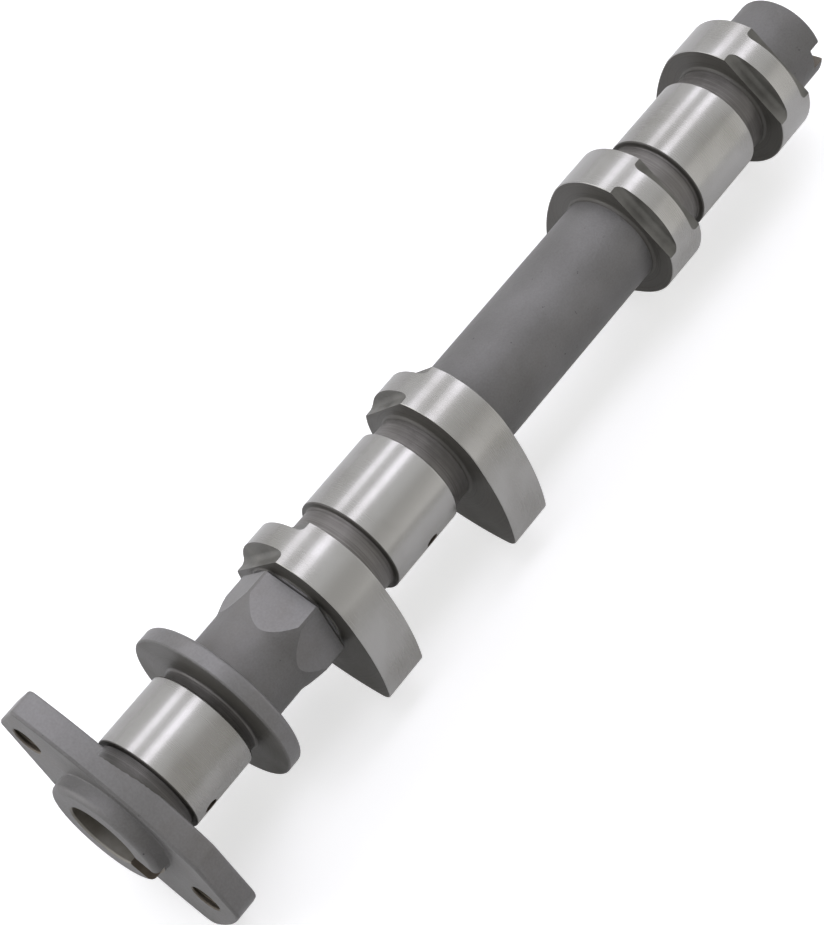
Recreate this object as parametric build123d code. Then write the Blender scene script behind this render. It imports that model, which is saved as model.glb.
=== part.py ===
from build123d import *
import os
from math import atan2, cos, degrees, hypot, radians, sin, sqrt

# One-piece overhead camshaft for a parallel-twin engine, in millimetres.
# The shaft's axis is +X. The origin is the centre of the sprocket seat, the flange's front face.
# Angles are measured about the axis, from +Y towards +Z. +Z is up as the shaft lies at rest.

# Shaft and journals
shaft_d = 19.7
journal_d = 22.0
journal_chamfer = 0.3
journal_1_start_x = 8.05
journal_1_width = 15.0
journal_2_width = 17.65
journal_2_centre_x = 73.3
cylinder_spacing = 97.05
root_size = 0.6

# Lobes, a pair beside each of the second and third journals
lobe_width = 9.6
lobe_offset = 19.1
base_circle_d = 28.4
lobe_height = 37.8
nose_radius = 2.3
flank_radius = 44.0
lobe_chamfer = 0.15
first_pair_nose_angle = 212.3
pair_phase_angle = 90.0

# Cast rebates in both sides of each lobe, opposite its nose. Those of the first pair differ.
rebate_floor_distance = 11.3
first_rebate_floor_distance = 10.5
second_rebate_floor_distance = 11.75
rebate_depth = 2.35
rebate_corner_radius = 1.1

# Thrust disc between the first journal and the first lobe
thrust_disc_d = 34.4
thrust_disc_start_x = 25.45
thrust_disc_width = 3.6
thrust_disc_front_chamfer = 0.3
thrust_disc_back_radius = 0.9

# Spanner hexagon beside the first lobe, its flats square to that lobe's nose
hexagon_across_flats = 19.9
hexagon_corner_d = 22.6
hexagon_taper_length = 4.6
hexagon_length = 10.0
hexagon_end_chamfer = 0.5
hexagon_gap = 0.6

# Sprocket flange
flange_thickness = 5.3
flange_length = 51.8
flange_edge_chamfer = 0.4
flange_corner_radius = 1.3
flange_far_corner_radius = 2.8
flange_far_end_bow = 1.1
flange_lead_angle = 8.8
bolt_spacing = 40.5
bolt_hole_d = 6.0
bolt_hole_chamfer = 0.4

# The flange's outline, each point's distance from the line through the bolt holes
wide_side = 14.3
wide_side_full_corner = 12.4
wide_side_shoulder = 12.7
wide_side_cut_corner = 3.2
wide_side_cut_length = 14.3
narrow_side = 13.3
narrow_side_full_corner = 8.2
narrow_side_shoulder = 12.2
narrow_side_cut_corner = 5.4
narrow_side_cut_length = 11.7

# Sloping relief in the back of the flange's narrow side, from its deep end to where it runs out
relief_deep_end = -10.5
relief_run_out = 3.0
relief_depth = 1.65

# Register boss and its recess
boss_d = 23.6
boss_height = 3.5
boss_edge_radius = 1.1
recess_d = 14.2
recess_mouth_chamfer = 0.3
recess_depth = 12.0
recess_tip_angle = 118.0
key_slot_width = 6.6
key_slot_depth = 2.0
key_slot_angle = 196.0

# Slotted free end
end_length = 11.6
end_chamfer = 0.6
end_slot_width = 4.7
end_slot_depth = 3.2
end_slot_angle = 160.5

# Oil gallery and the cross holes that feed the journals
gallery_d = 6.0
gallery_end_wall = 14.0
oil_hole_d = 2.6
oil_hole_angle = 184.8
journal_1_oil_x = 11.85
journal_oil_offset = 1.35

# Sizes that follow from the ones above
shaft_r = shaft_d / 2
journal_r = journal_d / 2
base_r = base_circle_d / 2
nose_tip_r = lobe_height - base_r
journal_1_end_x = journal_1_start_x + journal_1_width
journal_centres = [journal_2_centre_x, journal_2_centre_x + cylinder_spacing]
lobe_centres = [x + side * lobe_offset for x in journal_centres for side in (-1, 1)]
nose_angles = [first_pair_nose_angle] * 2 + [first_pair_nose_angle + pair_phase_angle] * 2
thrust_disc_end_x = thrust_disc_start_x + thrust_disc_width
hexagon_end_x = lobe_centres[0] - lobe_width / 2 - hexagon_gap
hexagon_start_x = hexagon_end_x - hexagon_length
end_x = lobe_centres[-1] + lobe_width / 2 + end_length
flange_angle = first_pair_nose_angle - flange_lead_angle
oil_hole_places = [journal_1_oil_x] + [x + journal_oil_offset for x in journal_centres]
oil_hole_angles = [oil_hole_angle] * 2 + [oil_hole_angle + pair_phase_angle]


def section_plane(x, angle):
    """A plane across the shaft at x, its own x axis turned to the given angle."""
    turned = (0, cos(radians(angle)), sin(radians(angle)))
    return Plane(origin=(x, 0, 0), x_dir=turned, z_dir=(1, 0, 0))


def disc(start_x, end_x, diameter):
    """A plain cylinder on the shaft's axis."""
    return extrude(section_plane(start_x, 0) * Circle(diameter / 2), end_x - start_x)


def turned_body():
    """The boss, journals, thrust disc, necks and free end."""
    shaft = disc(0, end_x, shaft_d)
    shaft = chamfer(shaft.edges().sort_by(Axis.X)[-1], end_chamfer)
    boss = disc(-boss_height, 1, boss_d)
    boss = fillet(boss.edges().sort_by(Axis.X)[0], boss_edge_radius)
    body = shaft + boss
    spans = [(journal_1_start_x, journal_1_end_x)]
    spans += [(x - journal_2_width / 2, x + journal_2_width / 2) for x in journal_centres]
    for start, end in spans:
        journal = disc(start, end, journal_d)
        body += chamfer(journal.edges().filter_by(GeomType.CIRCLE), journal_chamfer)
    thrust = disc(thrust_disc_start_x, thrust_disc_end_x, thrust_disc_d)
    thrust = chamfer(thrust.edges().sort_by(Axis.X)[0], thrust_disc_front_chamfer)
    return body + fillet(thrust.edges().sort_by(Axis.X)[-1], thrust_disc_back_radius)


def hexagon():
    """Six flats on a barrel that swells out of the shaft and stops just short of the first lobe."""
    barrel_r = hexagon_corner_d / 2
    outline = Polyline(
        (hexagon_start_x, 0),
        (hexagon_start_x, shaft_r - 0.1),
        (hexagon_start_x + hexagon_taper_length, barrel_r),
        (hexagon_end_x, barrel_r),
        (hexagon_end_x, 0),
        close=True,
    )
    barrel = revolve(make_face(outline), Axis.X)
    flats = RegularPolygon(hexagon_across_flats / 2, 6, major_radius=False)
    plane = section_plane(hexagon_start_x - 1, first_pair_nose_angle)
    prism = extrude(plane * Rot(0, 0, 30) * flats, hexagon_length + 1)
    prism = chamfer(prism.faces().sort_by(Axis.X)[-1].edges(), hexagon_end_chamfer)
    return barrel & prism


def lobe_outline():
    """A three-arc cam: base circle, two convex flanks and a nose on the local +X axis."""
    nose_x = nose_tip_r - nose_radius
    to_base = flank_radius - base_r
    to_nose = flank_radius - nose_radius
    flank_x = (to_base**2 - to_nose**2 + nose_x**2) / (2 * nose_x)
    flank_y = -sqrt(to_base**2 - flank_x**2)
    base_turn = atan2(-flank_y, -flank_x)
    nose_turn = atan2(-flank_y, nose_x - flank_x)
    base_point = (base_r * cos(base_turn), base_r * sin(base_turn))
    nose_point = (nose_x + nose_radius * cos(nose_turn), nose_radius * sin(nose_turn))
    middle_turn = (base_turn + nose_turn) / 2
    middle_point = (flank_x + flank_radius * cos(middle_turn), flank_y + flank_radius * sin(middle_turn))
    edges = [
        ThreePointArc(base_point, (-base_r, 0), (base_point[0], -base_point[1])),
        ThreePointArc((base_point[0], -base_point[1]), (middle_point[0], -middle_point[1]),
                      (nose_point[0], -nose_point[1])),
        ThreePointArc((nose_point[0], -nose_point[1]), (nose_tip_r, 0), nose_point),
        ThreePointArc(nose_point, middle_point, base_point),
    ]
    return make_face(Wire(edges))


def lobe(centre_x, nose_angle, floor_distance):
    """One lobe with a rebate cut into each side on its base circle."""
    start_x = centre_x - lobe_width / 2
    plane = section_plane(start_x, nose_angle)
    blank = extrude(plane * lobe_outline(), lobe_width)
    faces = blank.faces().sort_by(Axis.X)
    blank = chamfer(faces[0].edges() + faces[-1].edges(), lobe_chamfer)
    reach = 2 * base_r
    cutter = Box(reach, 2 * reach, 2 * rebate_depth)
    corners = cutter.edges().filter_by(Axis.Y).group_by(Axis.X)[-1]
    cutter = fillet(corners, rebate_corner_radius)
    place = Pos(-floor_distance - reach / 2, 0, 0)
    for x in (start_x, start_x + lobe_width):
        blank -= section_plane(x, nose_angle) * place * cutter
    return blank


def root_ring(face_x, side):
    """The small cone between the shaft and a lobe's side face, side being -1 before the lobe."""
    outline = Polyline(
        (face_x, shaft_r - 1),
        (face_x, shaft_r + root_size),
        (face_x + side * root_size, shaft_r),
        (face_x + side * root_size, shaft_r - 1),
        close=True,
    )
    return revolve(make_face(outline), Axis.X)


def flange():
    """The two-bolt plate, with bowed sides, two corners cut back and a relief behind its narrow side."""
    left = -flange_length / 2
    right = flange_length / 2
    wide_shoulder = (left + wide_side_cut_length, wide_side_shoulder)
    narrow_shoulder = (right - narrow_side_cut_length, -narrow_side_shoulder)
    bow_point = (right + flange_far_end_bow, (wide_side_full_corner - narrow_side_cut_corner) / 2)
    outline = make_face(Wire([
        Line((left, -narrow_side_full_corner), (left, wide_side_cut_corner)),
        Line((left, wide_side_cut_corner), wide_shoulder),
        ThreePointArc(wide_shoulder, (0, wide_side), (right, wide_side_full_corner)),
        ThreePointArc((right, wide_side_full_corner), bow_point, (right, -narrow_side_cut_corner)),
        Line((right, -narrow_side_cut_corner), narrow_shoulder),
        ThreePointArc(narrow_shoulder, (0, -narrow_side), (left, -narrow_side_full_corner)),
    ]))
    ends = outline.vertices().group_by(Axis.X)
    outline = fillet(ends[0], flange_corner_radius)
    far_end = outline.vertices().group_by(Axis.X)[-1]
    outline = fillet(far_end, flange_far_corner_radius)
    section = section_plane(0, flange_angle)
    plate = extrude(section * outline, flange_thickness)
    faces = plate.faces().sort_by(Axis.X)
    plate = chamfer(faces[0].edges() + faces[-1].edges(), flange_edge_chamfer)
    slope = Polyline(
        (relief_deep_end, flange_thickness - relief_depth),
        (relief_run_out, flange_thickness),
        (relief_run_out, flange_thickness + 1),
        (relief_deep_end, flange_thickness + 1),
        close=True,
    )
    side = Plane(origin=(0, 0, 0), x_dir=section.x_dir, z_dir=-section.y_dir)
    return plate - extrude(side * make_face(slope), flange_length)


def bolt_hole(side):
    """A threaded hole through the flange, at its thread's inner diameter."""
    radius = bolt_hole_d / 2
    place = section_plane(0, flange_angle) * Pos(side * bolt_spacing / 2, 0, flange_thickness / 2)
    hole = Cylinder(radius, flange_thickness + 2)
    mouth = Cone(radius + bolt_hole_chamfer, radius, bolt_hole_chamfer)
    front = Pos(0, 0, -(flange_thickness - bolt_hole_chamfer) / 2)
    return place * (hole + front * mouth)


def bores():
    """The front recess, the oil gallery behind it and the cross holes out to the journals."""
    tip_length = recess_d / 2 * cos(radians(recess_tip_angle / 2)) / sin(radians(recess_tip_angle / 2))
    recess_end_x = recess_depth - boss_height
    recess = disc(-boss_height, recess_end_x, recess_d)
    mouth = revolve(make_face(Polyline(
        (-boss_height, 0), (-boss_height, recess_d / 2 + recess_mouth_chamfer),
        (-boss_height + recess_mouth_chamfer, recess_d / 2), (-boss_height + recess_mouth_chamfer, 0), close=True,
    )), Axis.X)
    tip = revolve(make_face(Polyline(
        (recess_end_x, 0), (recess_end_x, recess_d / 2), (recess_end_x + tip_length, 0), close=True,
    )), Axis.X)
    gallery = disc(recess_end_x, end_x - gallery_end_wall, gallery_d)
    removed = recess + mouth + tip + gallery
    for x, angle in zip(oil_hole_places, oil_hole_angles):
        across = section_plane(x, angle)
        drill = Plane(origin=(x, 0, 0), x_dir=(1, 0, 0), z_dir=across.x_dir)
        removed += extrude(drill * Circle(oil_hole_d / 2), journal_d)
    return removed


def slots():
    """The key slot through the boss's rim and the slot across the free end."""
    key = section_plane(-boss_height, key_slot_angle) * Pos(boss_d / 2, 0, 0) * Box(
        boss_d, key_slot_width, 2 * key_slot_depth)
    across = section_plane(end_x, end_slot_angle) * Box(2 * shaft_d, end_slot_width, 2 * end_slot_depth)
    return key + across


floor_distances = [first_rebate_floor_distance, second_rebate_floor_distance] + [rebate_floor_distance] * 2
camshaft = turned_body() + hexagon() + flange()
for centre_x, nose_angle, floor_distance in zip(lobe_centres, nose_angles, floor_distances):
    camshaft += lobe(centre_x, nose_angle, floor_distance)
    for side in (-1, 1):
        if centre_x > lobe_centres[0] or side > 0:
            camshaft += root_ring(centre_x + side * lobe_width / 2, side)
camshaft -= bores()
for side in (-1, 1):
    camshaft -= bolt_hole(side)
camshaft -= slots()

os.makedirs("parts", exist_ok=True)
export_step(camshaft, "parts/camshaft.step")
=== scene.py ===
import math
import random

import bmesh
import bpy
import numpy as np
from bpy.props import FloatProperty, FloatVectorProperty, IntProperty, PointerProperty
from mathutils import Matrix, Vector


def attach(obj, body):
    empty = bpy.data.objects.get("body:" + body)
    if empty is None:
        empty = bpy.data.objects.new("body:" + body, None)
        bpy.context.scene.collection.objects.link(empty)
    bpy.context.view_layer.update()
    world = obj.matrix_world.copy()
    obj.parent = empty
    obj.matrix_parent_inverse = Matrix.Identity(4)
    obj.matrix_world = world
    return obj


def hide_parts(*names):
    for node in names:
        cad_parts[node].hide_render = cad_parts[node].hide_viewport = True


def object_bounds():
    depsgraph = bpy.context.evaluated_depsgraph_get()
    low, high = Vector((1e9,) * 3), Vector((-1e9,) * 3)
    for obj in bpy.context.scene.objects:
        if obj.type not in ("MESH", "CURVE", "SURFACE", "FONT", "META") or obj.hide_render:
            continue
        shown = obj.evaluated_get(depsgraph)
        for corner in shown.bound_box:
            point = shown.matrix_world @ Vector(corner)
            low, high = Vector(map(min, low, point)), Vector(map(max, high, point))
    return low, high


bl_info = {
    "name": "Camshaft finish",
    "version": (1, 0, 0),
    "blender": (4, 5, 0),
    "location": "3D View > Sidebar > Camshaft",
    "description": "Builds the finished camshaft over its frame, with a plain studio round it",
    "category": "Object",
}

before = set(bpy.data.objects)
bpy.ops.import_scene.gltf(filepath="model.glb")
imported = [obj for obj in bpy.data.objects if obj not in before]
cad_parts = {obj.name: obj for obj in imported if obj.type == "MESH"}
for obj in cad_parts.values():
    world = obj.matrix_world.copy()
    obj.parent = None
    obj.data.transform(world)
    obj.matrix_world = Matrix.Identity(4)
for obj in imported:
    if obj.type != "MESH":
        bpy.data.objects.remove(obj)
CAD_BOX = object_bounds()
MM = 0.001

# Finishes, by their place in the camshaft's list of materials
CAST, GROUND, SIDE, TURNED, BORE, REBATE, RECESS, MILLED = range(8)

HAIR = 0.01 * MM  # a step too small to see
CLEAR = 20 * MM  # past everything that a cutter has to clear
DRILL_POINT = math.radians(59)  # half the angle at a drill's point
CRISP_FROM = math.radians(26)  # edges that turn more than this stay crisp
CRISP_FLATS = math.radians(7)  # less round the hexagon's flats, which meet the barrel at a shallow angle
QUARTER_TURN = Matrix.Rotation(math.radians(90), 4, "Y")  # local z on to the shaft's axis


def amount(name, value, description, **kind):
    """A number."""
    return FloatProperty(name=name, description=description, default=value, **kind)


def metres(name, value, description):
    """A length in metres."""
    return amount(name, value, description, unit="LENGTH")


def size(name, millimetres, description):
    """A length that is given in millimetres and kept in metres."""
    return amount(name, millimetres * MM, description, unit="LENGTH", precision=5)


def turn(name, degrees, description):
    """An angle about the shaft, from +Y towards +Z."""
    return amount(name, math.radians(degrees), description, subtype="ANGLE")


def colour(name, red, green, blue, description):
    """A linear colour."""
    return FloatVectorProperty(name=name, description=description, default=(red, green, blue), subtype="COLOR",
                               size=3, min=0.0, max=1.0)


def spot(name, x, y, z, description):
    """A place or a direction."""
    return FloatVectorProperty(name=name, description=description, default=(x, y, z), subtype="XYZ", precision=6)


class ShaftSizes(bpy.types.PropertyGroup):
    """The shaft, its journals, thrust disc and free end."""

    shaft_r: size("Shaft radius", 9.85, "Bare shaft and necks")
    journal_r: size("Journal radius", 11.0, "The three ground journals")
    journal_edge: size("Journal edge", 0.3, "Chamfer on each journal's edges")
    journal_1_start: size("First journal start", 8.05, "From the sprocket seat")
    journal_1_width: size("First journal width", 15.0, "Along the shaft")
    journal_width: size("Journal width", 17.65, "Second and third journals")
    journal_2_centre: size("Second journal centre", 73.3, "From the sprocket seat")
    cylinder_spacing: size("Cylinder spacing", 97.05, "Second journal to third")
    root: size("Root fillet", 0.7, "Between the shaft and what rises from it")
    disc_r: size("Thrust disc radius", 17.2, "At its rim")
    disc_start: size("Thrust disc start", 25.45, "From the sprocket seat")
    disc_width: size("Thrust disc width", 3.6, "Along the shaft")
    disc_edge: size("Thrust disc edge", 0.3, "Rounding of its front edge")
    disc_back_edge: size("Thrust disc back edge", 0.9, "Rounding of its back edge")
    end_length: size("Free end length", 11.6, "Shaft left beyond the last lobe")
    end_edge: size("Free end edge", 0.6, "Rounding of its rim")
    end_slot_width: size("End slot width", 4.7, "Slot across the free end")
    end_slot_depth: size("End slot depth", 3.2, "Into the free end")
    end_slot_turn: turn("End slot angle", 160.5, "Direction of that slot")


class LobeSizes(bpy.types.PropertyGroup):
    """The four lobes and the cast rebates in their sides."""

    width: size("Lobe width", 9.6, "Along the shaft")
    offset: size("Lobe offset", 19.1, "From its journal's centre to its own")
    base_r: size("Base circle radius", 14.2, "Round part of each lobe")
    height: size("Lobe height", 37.8, "From the back of the base circle to the tip of the nose")
    nose_r: size("Nose radius", 2.3, "At the tip")
    flank_r: size("Flank radius", 44.0, "The convex flanks")
    edge: size("Lobe edge", 0.15, "Rounding of each lobe's edges")
    first_nose: turn("First nose angle", 212.3, "Noses of the first pair")
    phase: turn("Phase", 90.0, "Turn from the first pair of lobes to the second")
    floor: size("Rebate floor", 11.3, "From the axis")
    first_floor: size("First rebate floor", 10.5, "From the axis, first lobe")
    second_floor: size("Second rebate floor", 11.75, "From the axis, second lobe")
    rebate_depth: size("Rebate depth", 2.35, "Along the shaft")
    rebate_corner: size("Rebate corner", 1.1, "Rounding between floor and wall")


class HexagonSizes(bpy.types.PropertyGroup):
    """The spanner hexagon beside the first lobe."""

    half_flats: size("Half across flats", 9.95, "From the axis to each flat")
    corner_r: size("Corner radius", 11.3, "From the axis to the rounded corners")
    length: size("Hexagon length", 10.0, "Length with its taper")
    taper: size("Taper", 4.6, "Where it swells out of the shaft")
    end_edge: size("End bevel", 0.5, "Bevel on the flats' ends")
    gap: size("Gap", 0.6, "To the first lobe")


class FlangeSizes(bpy.types.PropertyGroup):
    """The sprocket flange, its boss, and the holes in both."""

    thickness: size("Flange thickness", 5.3, "Along the shaft")
    length: size("Flange length", 51.8, "Along the line of its bolt holes")
    edge: size("Flange edge", 0.55, "Rounding of its edges")
    corner: size("Flange corner", 1.3, "Rounding of the outline")
    far_corner: size("Far corner", 2.8, "Rounding at the far end")
    far_bow: size("Far end bow", 1.1, "How far it bows out")
    lead: turn("Flange lead", 8.8, "Turn from the bolt holes to the first pair's noses")
    wide_side: size("Wide side", 14.3, "From the bolt holes' line")
    wide_full: size("Wide side, full corner", 12.4, "From the bolt holes' line")
    wide_shoulder: size("Wide side, shoulder", 12.7, "From the bolt holes' line")
    wide_cut: size("Wide side, cut corner", 3.2, "From the bolt holes' line")
    wide_cut_length: size("Wide side, cut length", 14.3, "Along the bolt holes' line")
    narrow_side: size("Narrow side", 13.3, "From the bolt holes' line")
    narrow_full: size("Narrow side, full corner", 8.2, "From the bolt holes' line")
    narrow_shoulder: size("Narrow side, shoulder", 12.2, "From the bolt holes' line")
    narrow_cut: size("Narrow side, cut corner", 5.4, "From the bolt holes' line")
    narrow_cut_length: size("Narrow side, cut length", 11.7, "Along the bolt holes' line")
    relief_start: size("Relief start", -10.5, "Deep end of the slope behind the narrow side")
    relief_end: size("Relief end", 3.0, "Where that slope runs out")
    relief_depth: size("Relief depth", 1.65, "At its deep end")
    boss_r: size("Boss radius", 11.8, "The register boss")
    boss_height: size("Boss height", 3.5, "From the flange's face")
    boss_edge: size("Boss edge", 1.1, "Rounding of its rim")
    recess_r: size("Recess radius", 7.1, "The recess in the boss")
    recess_depth: size("Recess depth", 12.0, "From the boss's face")
    recess_mouth: size("Recess mouth", 0.3, "Chamfer at its mouth")
    gallery_r: size("Oil gallery radius", 3.0, "Along the axis")
    gallery_wall: size("Gallery end wall", 14.0, "Metal left before the free end")
    key_width: size("Key slot width", 6.6, "Slot across the boss's rim")
    key_depth: size("Key slot depth", 2.0, "From the boss's face")
    key_turn: turn("Key slot angle", 196.0, "Direction of that slot")
    oil_r: size("Oil hole radius", 1.3, "From the gallery to the journals")
    oil_turn: turn("Oil hole angle", 184.8, "The first two holes")
    first_oil: size("First oil hole", 11.85, "From the sprocket seat")
    oil_offset: size("Oil hole offset", 1.35, "The others, from their journals' centres")


class ThreadSizes(bpy.types.PropertyGroup):
    """The threads in the two bolt holes."""

    bolt_spacing: size("Bolt spacing", 40.5, "Centre to centre")
    hole_r: size("Hole radius", 3.0, "At the crests and at the mouth")
    root_r: size("Thread root radius", 3.4, "At the roots")
    mouth: size("Mouth chamfer", 0.2, "Chamfer at each mouth")
    pitch: size("Pitch", 1.0, "From turn to turn")
    lip: size("Lip", 0.4, "Where the thread starts")
    steps: IntProperty(name="Steps", description="Points in each turn of the thread", default=40, min=12)


class FinishColours(bpy.types.PropertyGroup):
    """Colours of the iron's finishes."""

    cast_light: colour("As cast, light", 0.208, 0.204, 0.202, "Raised grain")
    cast_dark: colour("As cast, dark", 0.118, 0.115, 0.109, "Hollow grain")
    stain: colour("Stain", 0.120, 0.104, 0.084, "Brown patches, cast and milled")
    milled: colour("Milled", 0.224, 0.220, 0.219, "Hexagon, flange sides, disc rim")
    milled_dark: colour("Milled, dark", 0.162, 0.158, 0.155, "Darker patches")
    ground: colour("Ground", 0.372, 0.366, 0.352, "Journals and lobes")
    ground_dull: colour("Ground, dull", 0.300, 0.293, 0.275, "Duller patches")
    # side and side_light: the very dark colour of the faces across the shaft is painted shade
    side: colour("Side faces", 0.060, 0.057, 0.050, "Faces across the shaft")
    side_light: colour("Side faces, light", 0.110, 0.104, 0.092, "Lighter rings")
    turned: colour("Turned necks", 0.127, 0.120, 0.112, "Beside the journals")
    turned_light: colour("Turned necks, light", 0.228, 0.218, 0.206, "Ridges")
    bore: colour("Bores", 0.085, 0.072, 0.055, "Inside the holes and slots")
    rebate: colour("Rebates", 0.080, 0.078, 0.068, "In the lobes' sides")
    rebate_light: colour("Rebates, light", 0.190, 0.186, 0.168, "Lighter patches")
    recess: colour("Recess", 0.140, 0.125, 0.100, "In the boss")
    recess_light: colour("Recess, light", 0.240, 0.228, 0.205, "Lighter patches")


class StageSettings(bpy.types.PropertyGroup):
    """Floor, lamps and camera."""

    floor_size: metres("Floor size", 6.0, "Width of the floor")
    floor_shade: amount("Floor", 0.86, "How pale the floor is")
    floor_bounce: amount("Floor bounce", 0.52, "How pale the floor is to soft light from it")
    floor_glow: amount("Floor glow", 0.50, "What the camera sees beside the lit floor")
    floor_shine: amount("Floor shine", 0.14, "What reflections see beside the lit floor")
    sky: amount("Sky", 0.50, "Light from all round")
    left_gain: amount("Sky gain, left", 2.1, "How much brighter the far left is")
    left_sky: colour("Sky, left", 0.98, 0.985, 1.0, "Colour of its light elsewhere")
    right_sky: colour("Sky, right", 0.42, 0.40, 0.37, "Colour of its light on the right")
    right_shine: amount("Sky shine, right", 0.45, "Share of the left's colour in reflections")
    lamp_distance: metres("Lamp distance", 0.75, "From the shaft")
    lamp_length: metres("Lamp length", 1.5, "Along the shaft")
    lamp_width: metres("Lamp width", 0.17, "Across the shaft")
    lamp_middle: metres("Lamp middle", 0.1, "Point of the shaft that they stand round")
    lamp_lean: amount("Lamp lean", 0.35, "How far they stand towards the free end")
    lamp_colour: colour("Lamp colour", 0.90, 0.885, 1.0, "Both long lamps")
    lamp_1_turn: turn("First lamp angle", 78.4, "About the shaft")
    lamp_2_turn: turn("Second lamp angle", 44.4, "About the shaft")
    lamp_1_power: amount("First lamp", 1.8, "Power in watts")
    lamp_2_power: amount("Second lamp", 1.5, "Power in watts")
    right_card_power: amount("Right card", 0.22, "Power in watts")
    right_card_place: spot("Right card place", 0.45, -0.42, 0.18, "Where it stands")
    right_card_aim: metres("Right card aim", 0.16, "Point of the shaft that it faces")
    right_card_width: metres("Right card width", 0.40, "Its width and height")
    left_card_power: amount("Left card", 0.50, "Power in watts")
    left_card_place: spot("Left card place", -0.24, 0.28, 0.10, "Where it stands")
    left_card_aim: metres("Left card aim", 0.02, "Point of the shaft that it faces")
    left_card_width: metres("Left card width", 0.30, "Its width and height")
    camera_place: spot("Camera", -0.080873, -0.131882, 0.394153, "Where the camera stands")
    camera_view: spot("View", 0.369840, 0.297337, -0.880232, "Where the camera looks")
    camera_up: spot("Up", 0.707541, 0.523899, 0.474252, "Which way is up in the picture")
    camera_lens: amount("Lens", 95.6085, "Focal length in mm, sensor 36 mm high")


class CamshaftSettings(bpy.types.PropertyGroup):
    """Everything that a user would change."""

    shaft: PointerProperty(type=ShaftSizes)
    lobes: PointerProperty(type=LobeSizes)
    hexagon: PointerProperty(type=HexagonSizes)
    flange: PointerProperty(type=FlangeSizes)
    thread: PointerProperty(type=ThreadSizes)
    colours: PointerProperty(type=FinishColours)
    stage: PointerProperty(type=StageSettings)


# Places along and round the shaft


def flange_turn(settings):
    """Direction of the line through the bolt holes."""
    return settings.lobes.first_nose - settings.flange.lead


def hexagon_end(settings):
    """Where the hexagon ends, just before the first lobe."""
    shaft, lobes = settings.shaft, settings.lobes
    return shaft.journal_2_centre - lobes.offset - lobes.width / 2 - settings.hexagon.gap


def far_end(settings):
    """Where the shaft ends."""
    shaft, lobes = settings.shaft, settings.lobes
    return shaft.journal_2_centre + shaft.cylinder_spacing + lobes.offset + lobes.width / 2 + shaft.end_length


def lobe_places(settings):
    """Each lobe's centre, nose direction, rebate floor and the finish before it."""
    shaft, lobes = settings.shaft, settings.lobes
    first, second = lobes.first_nose, lobes.first_nose + lobes.phase
    low, high = shaft.journal_2_centre, shaft.journal_2_centre + shaft.cylinder_spacing
    return ((low - lobes.offset, first, lobes.first_floor, CAST),
            (low + lobes.offset, first, lobes.second_floor, TURNED),
            (high - lobes.offset, second, lobes.floor, CAST),
            (high + lobes.offset, second, lobes.floor, TURNED))


# Sections across the shaft, as distances from its axis at each turn


def from_turn(turns, centre):
    """How far each turn is from a centre direction, between -180 and 180 degrees."""
    return (turns - centre + math.pi) % (2 * math.pi) - math.pi


def circle_reach(turns, x, y, radius):
    """Distance to the far side of a circle."""
    along = x * np.cos(turns) + y * np.sin(turns)
    return along + np.sqrt(np.maximum(along**2 + radius**2 - x * x - y * y, 0.0))


def lobe_reach(lobes, away):
    """The three-arc cam: base circle, flanks and nose. away is the turn from the nose."""
    nose_x = lobes.height - lobes.base_r - lobes.nose_r
    to_base = lobes.flank_r - lobes.base_r
    to_nose = lobes.flank_r - lobes.nose_r
    flank_x = (to_base**2 - to_nose**2 + nose_x**2) / (2 * nose_x)
    flank_y = -math.sqrt(to_base**2 - flank_x**2)
    base_turn = math.atan2(-flank_y, -flank_x)
    nose_turn = math.atan2(-flank_y, nose_x - flank_x)
    nose_end = math.atan2(lobes.nose_r * math.sin(nose_turn), nose_x + lobes.nose_r * math.cos(nose_turn))
    away = np.abs(away)
    nose = circle_reach(away, nose_x, 0.0, lobes.nose_r)
    flank = circle_reach(away, flank_x, flank_y, lobes.flank_r)
    return np.where(away > base_turn, lobes.base_r, np.where(away > nose_end, flank, nose))


def arc_points(start, middle, end, count=18):
    """Points along the arc through three points."""
    (ax, ay), (bx, by), (cx, cy) = start, middle, end
    d = 2 * (ax * (by - cy) + bx * (cy - ay) + cx * (ay - by))
    a, b, c = ax * ax + ay * ay, bx * bx + by * by, cx * cx + cy * cy
    ux = (a * (by - cy) + b * (cy - ay) + c * (ay - by)) / d
    uy = (a * (cx - bx) + b * (ax - cx) + c * (bx - ax)) / d
    radius = math.hypot(ax - ux, ay - uy)
    first = math.atan2(ay - uy, ax - ux)
    sweep = (math.atan2(cy - uy, cx - ux) - first + math.pi) % (2 * math.pi) - math.pi
    return [(ux + radius * math.cos(first + sweep * i / count), uy + radius * math.sin(first + sweep * i / count))
            for i in range(count + 1)]


def rounded_corner(before, corner, after, radius, steps=6):
    """The arc that rounds a corner."""
    p = Vector(corner)
    a = (Vector(before) - p).normalized()
    b = (Vector(after) - p).normalized()
    half = math.acos(max(-1.0, min(1.0, a.dot(b)))) / 2
    centre = p + (a + b).normalized() * radius / math.sin(half)
    start = p + a * radius / math.tan(half) - centre
    end = p + b * radius / math.tan(half) - centre
    swing = start.angle_signed(end)
    return [tuple(centre + Matrix.Rotation(-swing * i / steps, 2) @ start) for i in range(steps + 1)]


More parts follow.
